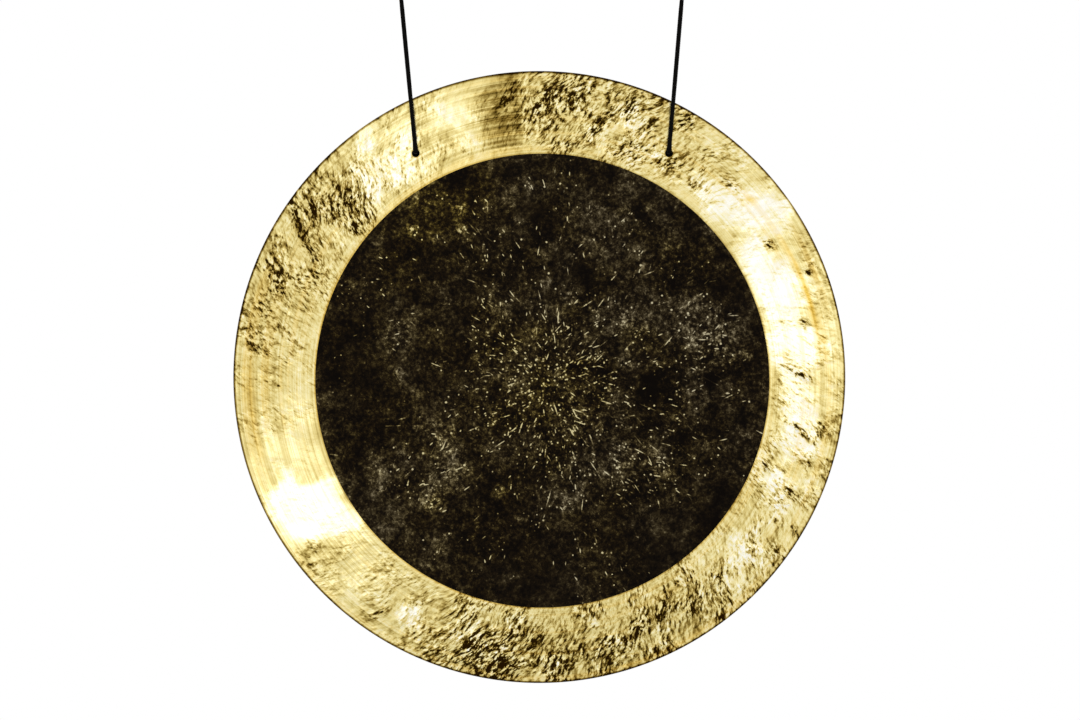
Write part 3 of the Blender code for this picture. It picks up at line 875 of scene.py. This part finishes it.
def polar(tree, flat, twist=0.0, shift=0.0):
    # direction about the axis in X and Z and radius in Y, so that no pattern has a seam
    level = addNode(tree, "VectorMath", {"operation": "MULTIPLY", 1: (1, 0, 1)}, {0: flat})[0]
    radius = addNode(tree, "VectorMath", {"operation": "LENGTH"}, {0: level})["Value"]
    angle = addNode(tree, "Math", {"operation": "MULTIPLY_ADD", 1: twist, 2: shift}, {0: radius})[0]
    turned = addNode(
        tree, "VectorRotate", {"rotation_type": "Y_AXIS"}, {"Vector": level, "Angle": angle}
    )[0]
    direction = addNode(tree, "VectorMath", {"operation": "NORMALIZE"}, {0: turned})[0]
    back = addNode(tree, "SeparateXYZ", links={0: flat})["Y"]
    along = addNode(tree, "Math", {"operation": "ADD"}, {0: radius, 1: back})[0]
    up = addNode(tree, "CombineXYZ", links={"Y": along})[0]
    return addNode(tree, "VectorMath", {"operation": "ADD"}, {0: direction, 1: up})[0]


def stretched(tree, polarPlace, around, outward, detail=2.0, roughness=0.5):
    # noise with patches of a size in metres round the disc, at the holes' circle, and another outwards
    scale = (holeCircle / around, 1 / outward, holeCircle / around)
    sized = addNode(tree, "VectorMath", {"operation": "MULTIPLY", 1: scale}, {0: polarPlace})[0]
    settings = {"Scale": 1.0, "Detail": detail, "Roughness": roughness}
    return addNode(tree, "TexNoise", settings, {"Vector": sized})["Fac"]


def weighted(tree, start, terms):
    # start plus each source's distance from its middle value, times its weight
    total = None
    for source, weight, middle in terms:
        start -= weight * middle
    for source, weight, middle in terms:
        settings = {"operation": "MULTIPLY_ADD", 1: weight}
        if total is None:
            total = addNode(tree, "Math", {**settings, 2: start}, {0: source})[0]
        else:
            total = addNode(tree, "Math", settings, {0: source, 2: total})[0]
    return total


bronze = {
    # patterns: size round the disc at the holes' circle and outwards, then octaves and roughness
    "crests": (0.0036, 0.0053),
    "lumps": (0.0110, 0.0110, 1.0),
    "ragged": (0.0020, 0.0030, 3.0, 0.65),
    "furrows": (0.0032, 0.0050, 4.0, 0.62),
    "toolLines": (0.16, 0.0020, 3.0, 0.7),  # 0.5 mm apart on the real thing, drawn wider so that they show
    "toolBands": (0.30, 0.0060, 2.0, 0.6),
    "cloudCells": 32.0,  # in a metre
    "groupCells": 40.0,
    "leeShift": -0.0050,  # radians from a crest to its dark side
    # metres outside the raw middle, or inside the rim, where each starts and where it is in full
    "marks": (0.0015, 0.0110),
    "stepReflectionLine": (0.0028, 0.0012),
    "rimShade": (0.0026, 0.0010),
    "bumpDepth": 0.0005,
    "tones": [
        (0.07, "#241502"), (0.18, "#4B380B"), (0.33, "#7C6529"), (0.48, "#A8904A"), (0.64, "#DAC67D"),
        (0.75, "#EFE1A2"), (0.85, "#F8EFC4"), (1.0, "#FCFAEE"),
    ],
    "tarnishAndStepReflection": "#F6DC8C",
}


def bronzeMaterial():
    # Bronze, hammered and then lathed: pale gold, brown scale in the furrows, painted highlight on the
    # crests and painted shade on their lee sides, fine tool lines round the disc, painted highlight
    # patches, and a highlight that the lines draw out into fans, with painted shade in the fans
    material, tree, shader = newMaterial("lathed_bronze")
    flat, astray, level = discPlace(tree)
    lean = -hammering["twist"]
    straight, here = polar(tree, flat), polar(tree, astray, lean)
    lee = polar(tree, astray, lean, bronze["leeShift"])
    farLee = polar(tree, astray, lean, 2 * bronze["leeShift"])
    density, stain, ring, paintedHighlight, warm, paintedRippleShade, paintedFanShade = [
        addNode(tree, "Attribute", {"attribute_name": name})["Fac"]
        for name in ("hammered", "stain", "ringRadius", "paintedHighlight", "warm", "paintedRippleShade", "paintedFanShade")
    ]
    # painted shade and highlight: each crest and lump is set against its own lee side, so the lee side is
    # darker and the crest paler, as light from one side shows relief
    crest = stretched(tree, here, *bronze["crests"])
    crestLee = stretched(tree, lee, *bronze["crests"])
    slope = addNode(tree, "Math", {"operation": "SUBTRACT"}, {0: crestLee, 1: crest})[0]
    paintedDeepShade = addNode(tree, "MapRange", {"From Min": -0.05, "From Max": -0.2}, {"Value": slope})[0]
    lump = stretched(tree, here, *bronze["lumps"])
    lumpLee = stretched(tree, farLee, *bronze["lumps"])
    lumpSlope = addNode(tree, "Math", {"operation": "SUBTRACT"}, {0: lumpLee, 1: lump})[0]
    ragged = stretched(tree, here, *bronze["ragged"])
    furrow = stretched(tree, here, *bronze["furrows"])
    furrow = addNode(tree, "MapRange", {"From Min": 0.54, "From Max": 0.38}, {"Value": furrow})[0]
    wandering = offGrid(tree, astray)
    clouds = {"Scale": bronze["cloudCells"], "Detail": 5.0, "Roughness": 0.6}
    cloud = addNode(tree, "TexNoise", clouds, {"Vector": wandering})["Fac"]
    groups = {"Scale": bronze["groupCells"], "Detail": 3.0}
    group = addNode(tree, "TexNoise", groups, {"Vector": wandering})["Fac"]
    grouping = {"From Min": 0.42, "From Max": 0.6, "To Min": 0.36, "To Max": 1.35}
    grouped = addNode(tree, "MapRange", grouping, {"Value": group})[0]
    broken = weighted(tree, 0.5, [(group, 2.5, 0.5), (cloud, 1.5, 0.5)])
    # the fans' painted shade, broken up by the groups and clouds
    paintedFanShade = addNode(tree, "Math", {"operation": "MULTIPLY", "use_clamp": True}, {0: paintedFanShade, 1: broken})[0]
    lines = stretched(tree, straight, *bronze["toolLines"])
    bands = stretched(tree, straight, *bronze["toolBands"])
    # marks show only where the hammer struck, and the tool lines most where it didn't
    struck = weighted(tree, 0.07, [(density, 0.95, 0), (stain, 0.9, 0)])
    struck = addNode(tree, "Math", {"operation": "MULTIPLY"}, {0: struck, 1: grouped})[0]
    start, full = [middleRadius + outside for outside in bronze["marks"]]
    clear = {"From Min": start, "From Max": full, "To Min": 0.3}
    clear = addNode(tree, "MapRange", clear, {"Value": ring})[0]
    struck = addNode(tree, "Math", {"operation": "MULTIPLY"}, {0: struck, 1: clear})[0]
    marks = weighted(
        tree, 0,
        [(slope, 2.0, 0), (paintedDeepShade, -0.4, 0), (lumpSlope, 3.2, 0), (crest, 0.6, 0.5), (ragged, 1.3, 0.5),
         (paintedRippleShade, -0.25, 0)],
    )
    marks = addNode(tree, "Math", {"operation": "MULTIPLY"}, {0: marks, 1: struck})[0]
    raised = addNode(tree, "Math", {"operation": "MAXIMUM", 1: 0.0}, {0: marks})[0]
    smooth = weighted(tree, 1.0, [(density, -0.5, 0), (paintedFanShade, 0.8, 0)])
    turning = weighted(tree, 0, [(lines, 0.55, 0.5), (bands, 0.40, 0.5)])
    turning = addNode(tree, "Math", {"operation": "MULTIPLY"}, {0: turning, 1: smooth})[0]
    # brown scale left in the furrows and as blots, and painted highlight, brightest where cloud and the
    # painted highlight patches meet
    scaled = addNode(tree, "Math", {"operation": "MULTIPLY"}, {0: density, 1: grouped})[0]
    scaled = weighted(tree, 0.0, [(scaled, 0.6, 0), (stain, 1.9, 0)])
    scaled = addNode(tree, "Math", {"operation": "MULTIPLY"}, {0: scaled, 1: furrow})[0]
    blot = addNode(tree, "MapRange", {"From Min": 0.62, "From Max": 1.25}, {"Value": stain})[0]
    paintedGlow = weighted(tree, 0, [(paintedHighlight, 1.0, 0), (cloud, 1.6, 0.5), (group, 1.0, 0.5)])
    paintedGlow = addNode(tree, "MapRange", {"From Min": 0.3, "From Max": 0.85}, {"Value": paintedGlow})[0]
    start, full = [disc["rimRadius"] - inside for inside in bronze["rimShade"]]
    rim = addNode(tree, "MapRange", {"From Min": start, "From Max": full}, {"Value": ring})[0]
    # painted reflection: a thin, deeper gold line just outside the raw middle, where the turned step
    # catches the light
    start, full = [middleRadius + outside for outside in bronze["stepReflectionLine"]]
    border = addNode(tree, "MapRange", {"From Min": start, "From Max": full}, {"Value": ring})[0]
    tone = weighted(
        tree, 0.74,
        [(marks, 0.80, 0), (raised, -0.50, 0), (scaled, -0.70, 0), (turning, 1.0, 0), (cloud, 0.35, 0.5),
         (stain, -0.13, 0), (blot, -0.42, 0), (paintedGlow, 0.26, 0), (warm, -0.07, 0), (rim, -0.5, 0),
         (border, -0.12, 0), (paintedFanShade, -0.30, 0)],
    )
    base = addNode(tree, "ValToRGB", links={"Fac": tone})[0]
    setStops(base, bronze["tones"])
    # a deeper yellow from the film of tarnish and the tool bands, and the painted reflection of the turned
    # step
    deeper = weighted(tree, 0, [(warm, 0.8, 0), (border, 0.4, 0), (bands, 2.2, 0.5)])
    tarnishAndStepReflection = {"data_type": "RGBA", "blend_type": "MULTIPLY", 7: linear(bronze["tarnishAndStepReflection"])}
    base = addNode(tree, "Mix", tarnishAndStepReflection, {0: deeper, 6: base})[2]
    tree.links.new(base, shader.inputs["Base Color"])
    polish = {"From Min": 0.3, "From Max": 0.8, "To Min": 0.5, "To Max": 0.24}
    tree.links.new(addNode(tree, "MapRange", polish, {"Value": tone})[0], shader.inputs["Roughness"])
    relief = weighted(tree, 0, [(crest, 1.0, 0), (lump, 2.0, 0), (ragged, 0.4, 0)])
    relief = addNode(tree, "Math", {"operation": "MULTIPLY"}, {0: relief, 1: struck})[0]
    height = weighted(tree, 0, [(relief, 1.0, 0), (lines, 0.12, 0)])
    bump = addNode(tree, "Bump", {"Strength": 1.0, "Distance": bronze["bumpDepth"]}, {"Height": height})[0]
    tree.links.new(bump, shader.inputs["Normal"])
    tree.links.new(level, shader.inputs["Tangent"])
    shader.inputs["Metallic"].default_value = 1.0
    shader.inputs["Anisotropic"].default_value = 0.6
    return material


rawMiddle = {
    # noise cells in a metre
    "cloudCells": 55.0,
    "broadCells": 19.0,
    "grainCells": 280.0,
    "wispCells": 70.0,
    "clumpCells": 26.0,
    # metres from the lathe's axis where each starts and where it is in full
    "starburst": (0.082, 0.005),
    "strewn": (0.21, 0.06),
    "quietEdge": (0.185, 0.222),
    "longGlintStreaks": (0.012, 0.040),
    "rightward": (-0.12, 0.12),  # the same, from left to right
    # painted glints of the hammer facets, as dots, short streaks and long streaks in cells of 4 to 25 mm:
    # which share of the cells has one, cells in a metre, half width, half length, strength
    "flecks": [
        ("common", 170, 0.0011, 0.0011, 0.9),
        ("common", 110, 0.0014, 0.0014, 0.9),
        ("common", 240, 0.0010, 0.0010, 0.7),
        ("common", 150, 0.0007, 0.0030, 1.0),
        ("outer", 95, 0.0007, 0.0050, 0.9),
        ("outer", 70, 0.0007, 0.0070, 0.8),
        ("strewn", 60, 0.0007, 0.0080, 0.8),
        ("strewn", 40, 0.0007, 0.0120, 0.6),
    ],
    "pageShift": (97, 61),  # a layer is moved by its cells in a metre over these
    "fleckTurn": 1.2,  # radians over which the nicks' directions scatter
    "fleckCore": 0.45,  # share of a fleck that is at full strength
    "fleckFaintness": 1.7,  # power: the higher, the fewer bright ones
    "bumpDepth": 0.0004,
    "greys": [
        (0.0, "#060200"), (0.1, "#0B0602"), (0.28, "#170F05"), (0.46, "#2E2514"), (0.63, "#4E442F"),
        (0.82, "#877B5F"), (1.0, "#CBC19F"),
    ],
    "golds": [
        (0.0, "#060200"), (0.1, "#0C0601"), (0.28, "#1A1003"), (0.46, "#33280D"), (0.63, "#57491D"),
        (0.82, "#988443"), (1.0, "#E8D996"),
    ],
}


def addFlecks(tree, page, share, scale, reach, length):
    # one painted glint in some of the cells of a page: a dot, or a streak that points away from the middle
    # the cells come out alike at every scale, so each layer is moved to a part of the pattern of its own
    shift = (scale / rawMiddle["pageShift"][0], scale / rawMiddle["pageShift"][1], 0)
    moved = addNode(tree, "VectorMath", {"operation": "ADD", 1: shift}, {0: page})[0]
    cell = addNode(tree, "TexVoronoi", {"voronoi_dimensions": "2D", "Scale": scale}, {"Vector": moved})
    # a cell's red and green go with its point's place in it and would line the marks up, so its blue gives
    # it three other numbers
    own = addNode(tree, "SeparateColor", links={0: cell["Color"]})["Blue"]
    chance = addNode(tree, "TexWhiteNoise", {"noise_dimensions": "1D"}, {"W": own})["Color"]
    chance = addNode(tree, "SeparateColor", links={0: chance})
    offset = addNode(tree, "VectorMath", {"operation": "SUBTRACT"}, {0: moved, 1: cell["Position"]})[0]
    outward = addNode(tree, "VectorMath", {"operation": "SUBTRACT", 1: shift}, {0: cell["Position"]})[0]
    outward = addNode(tree, "VectorMath", {"operation": "NORMALIZE"}, {0: outward})[0]
    scatter = {"operation": "MULTIPLY_ADD", 1: rawMiddle["fleckTurn"], 2: -rawMiddle["fleckTurn"] / 2}
    turn = addNode(tree, "Math", scatter, {0: chance["Blue"]})[0]
    outward = addNode(
        tree, "VectorRotate", {"rotation_type": "Z_AXIS"}, {"Vector": outward, "Angle": turn}
    )[0]
    along = addNode(tree, "VectorMath", {"operation": "DOT_PRODUCT"}, {0: offset, 1: outward})["Value"]
    outwardPart = addNode(tree, "VectorMath", {"operation": "SCALE"}, {0: outward, "Scale": along})[0]
    sideways = addNode(tree, "VectorMath", {"operation": "SUBTRACT"}, {0: offset, 1: outwardPart})[0]
    across = addNode(tree, "VectorMath", {"operation": "LENGTH"}, {0: sideways})["Value"]
    across = addNode(tree, "Math", {"operation": "DIVIDE", 1: reach}, {0: across})[0]
    along = addNode(tree, "Math", {"operation": "DIVIDE", 1: length}, {0: along})[0]
    both = addNode(tree, "CombineXYZ", links={"X": across, "Y": along})[0]
    away = addNode(tree, "VectorMath", {"operation": "LENGTH"}, {0: both})["Value"]
    edge = {"From Min": 1.0, "From Max": rawMiddle["fleckCore"]}
    bright = addNode(tree, "MapRange", edge, {"Value": away})[0]
    some = addNode(tree, "Math", {"operation": "LESS_THAN"}, {0: chance["Red"], 1: share})[0]
    bright = addNode(tree, "Math", {"operation": "MULTIPLY"}, {0: bright, 1: some})[0]
    faint = {"operation": "POWER", 1: rawMiddle["fleckFaintness"]}
    strength = addNode(tree, "Math", faint, {0: chance["Green"]})[0]
    return addNode(tree, "Math", {"operation": "MULTIPLY"}, {0: bright, 1: strength})[0]


def scaleMaterial():
    # Oxide scale of the raw casting: near black and matt, with grey clouds, and bright flecks and radial
    # streaks painted as glints of the hammer facets, thickest and most golden round the middle
    material, tree, shader = newMaterial("oxide_scale")
    flat, astray, level = discPlace(tree)
    radius = addNode(tree, "VectorMath", {"operation": "LENGTH"}, {0: level})["Value"]
    haze, warm = [addNode(tree, "Attribute", {"attribute_name": name})["Fac"] for name in ("haze", "warm")]
    wandering, still = offGrid(tree, astray), offGrid(tree, flat)
    clouds = {"Scale": rawMiddle["cloudCells"], "Detail": 5.0, "Roughness": 0.66, "Distortion": 0.6}
    cloud = addNode(tree, "TexNoise", clouds, {"Vector": wandering})["Fac"]
    broad = {"Scale": rawMiddle["broadCells"], "Detail": 3.0, "Roughness": 0.6}
    broad = addNode(tree, "TexNoise", broad, {"Vector": wandering})["Fac"]
    grain = {"Scale": rawMiddle["grainCells"], "Detail": 4.0, "Roughness": 0.68}
    grain = addNode(tree, "TexNoise", grain, {"Vector": still})["Fac"]
    # a wisp is where a cloud crosses its middle value, as thin as a scratch
    wisps = {"Scale": rawMiddle["wispCells"], "Detail": 1.0, "Distortion": 1.2}
    wisp = addNode(tree, "TexNoise", wisps, {"Vector": still})["Fac"]
    wisp = addNode(tree, "Math", {"operation": "COMPARE", 1: 0.5, 2: 0.006}, {0: wisp})[0]
    wisp = addNode(tree, "Math", {"operation": "MULTIPLY"}, {0: wisp, 1: cloud})[0]
    spans = [rawMiddle[name] for name in ("starburst", "strewn", "quietEdge", "longGlintStreaks")]
    near, inward, outside, clearOfMiddle = [
        addNode(tree, "MapRange", {"From Min": start, "From Max": full}, {"Value": radius})[0]
        for start, full in spans
    ]
    mottled = addNode(tree, "MapRange", {"From Min": 0.44, "From Max": 0.62}, {"Value": grain})[0]
    mottled = addNode(tree, "Math", {"operation": "MULTIPLY"}, {0: mottled, 1: haze})[0]
    parts = addNode(tree, "SeparateXYZ", links={0: flat})
    page = addNode(tree, "CombineXYZ", links={"X": parts["X"], "Y": parts["Z"]})[0]
    left, right = rawMiddle["rightward"]
    rightward = {"From Min": left, "From Max": right, "To Min": 0.0, "To Max": 0.3}
    rightward = addNode(tree, "MapRange", rightward, {"Value": parts["X"]})[0]
    strewn = addNode(tree, "Math", {"operation": "MULTIPLY"}, {0: rightward, 1: inward})[0]
    clumps = {"Scale": rawMiddle["clumpCells"], "Detail": 2.0}
    clumped = addNode(tree, "TexNoise", clumps, {"Vector": still})["Fac"]
    common = weighted(
        tree, 0.05,
        [(near, 0.60, 0), (strewn, 1.0, 0), (clumped, 0.8, 0.5), (haze, 0.6, 0), (outside, -0.08, 0)],
    )
    # the longer streaks keep clear of the very middle
    outer = addNode(tree, "Math", {"operation": "MULTIPLY"}, {0: common, 1: clearOfMiddle})[0]
    terms = [
        (cloud, 1.25, 0.5), (broad, 0.8, 0.5), (grain, 1.55, 0.5), (haze, 0.6, 0), (mottled, 0.9, 0),
        (wisp, 0.30, 0), (warm, 0.06, 0),
    ]
    shares = {"common": common, "outer": outer, "strewn": strewn}
    for where, scale, reach, length, strength in rawMiddle["flecks"]:
        terms.append((addFlecks(tree, page, shares[where], scale, reach, length), strength, 0))
    tone = weighted(tree, 0.29, terms)
    grey = addNode(tree, "ValToRGB", links={"Fac": tone})[0]
    setStops(grey, rawMiddle["greys"])
    gold = addNode(tree, "ValToRGB", links={"Fac": tone})[0]
    setStops(gold, rawMiddle["golds"])
    golden = weighted(
        tree, 0.45, [(near, 0.4, 0), (broad, -2.5, 0.5), (rightward, -0.8, 0), (warm, 1.2, 0)]
    )
    base = addNode(tree, "Mix", {"data_type": "RGBA"}, {0: golden, 6: grey, 7: gold})[2]
    tree.links.new(base, shader.inputs["Base Color"])
    crust = {"Strength": 1.0, "Distance": rawMiddle["bumpDepth"]}
    bump = addNode(tree, "Bump", crust, {"Height": cloud})[0]
    tree.links.new(bump, shader.inputs["Normal"])
    shader.inputs["Roughness"].default_value = 0.6
    shader.inputs["Specular IOR Level"].default_value = 0.04
    return material


def buildPlate():
    deselectAll()
    obj = buildPlateRings()
    formPlate(obj)
    print("plate formed:", len(obj.data.polygons), "faces")
    drillHoles(obj)
    hammerPlate(obj)
    bpy.ops.object.shade_smooth_by_angle(angle=plate["sharpEdge"])
    obj.data.materials.append(bronzeMaterial())
    obj.data.materials.append(scaleMaterial())
    co = coordinates(obj)
    ring = np.hypot(co[:, 0] - latheAxis.x, co[:, 2] - latheAxis.z)
    edge = middleRadius + disc["turnedRamp"] / 2 + plate["ringTolerance"]
    slots = [int(max(ring[v] for v in face.vertices) < edge) for face in obj.data.polygons]
    obj.data.polygons.foreach_set("material_index", slots)
    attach(obj, "gong")
    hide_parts("gong_disc")
    print("plate hammered:", sum(len(face.vertices) - 2 for face in obj.data.polygons), "triangles")
    return obj


buildPlate()


# Studio: white surroundings, a small pale floor below the picture, soft lamps
studio = {
    "worldLight": 0.85,
    "floorHeight": -1.15,
    "floorRadius": 2.2,
    "floorSides": 96,
    "floorFade": (1.0, 2.1),  # metres from its middle where the floor starts to fade and where it is gone
    # degrees about the disc's axis from the right, distance off the axis, size, power
    "ringLamps": [
        ("keyLamp", 208, 0.86, 0.42, 0.55),
        ("sideLamp", 8, 0.88, 0.6, 0.5),
        ("topLamp", 116, 0.86, 0.36, 0.4),
    ],
    "lampDistance": 2.2,
}


def buildStudio():
    world = bpy.data.worlds.new("studio")
    bpy.context.scene.world = world
    world.use_nodes = True
    tree = world.node_tree
    tree.nodes.clear()
    path = addNode(tree, "LightPath")
    seen = path["Is Camera Ray"]
    for ray in ("Is Glossy Ray", "Is Transmission Ray"):
        seen = addNode(tree, "Math", {"operation": "MAXIMUM"}, {0: seen, 1: path[ray]})[0]
    levels = {"To Min": studio["worldLight"], "To Max": 1.0}
    strength = addNode(tree, "MapRange", levels, {"Value": seen})[0]
    background = addNode(tree, "Background", {"Color": (1, 1, 1, 1)}, {"Strength": strength})[0]
    addNode(tree, "OutputWorld", links={"Surface": background})
    deselectAll()
    bpy.ops.mesh.primitive_circle_add(
        vertices=studio["floorSides"], radius=studio["floorRadius"], fill_type="NGON",
        location=(0, 0, studio["floorHeight"]),
    )
    floor = bpy.context.object
    floor.name = "floor"
    material, tree, shader = newMaterial("pale_floor")
    place = addNode(tree, "TexCoord")["Object"]
    reach = addNode(tree, "VectorMath", {"operation": "LENGTH"}, {0: place})["Value"]
    start, gone = studio["floorFade"]
    fading = {"From Min": start, "From Max": gone, "To Min": 1.0, "To Max": 0.0}
    tree.links.new(addNode(tree, "MapRange", fading, {"Value": reach})[0], shader.inputs["Alpha"])
    shader.inputs["Base Color"].default_value = linear("#F4F4F2")
    shader.inputs["Roughness"].default_value = 0.8
    floor.data.materials.append(material)
    middle = disc["rimCentre"]
    for name, degrees, off, size, power in studio["ringLamps"]:
        turn = math.radians(degrees)
        place = middle + Vector((off * math.cos(turn), -studio["lampDistance"], off * math.sin(turn)))
        lamp = bpy.data.lights.new(name, "AREA")
        lamp.shape, lamp.size, lamp.energy = "DISK", size, power
        holder = bpy.data.objects.new(name, lamp)
        bpy.context.scene.collection.objects.link(holder)
        holder.location = place
        holder.rotation_euler = (middle - place).to_track_quat("-Z", "Y").to_euler()
        holder.visible_camera = False
    bpy.context.scene.view_settings.view_transform = "Standard"


buildStudio()
print("studio lit")
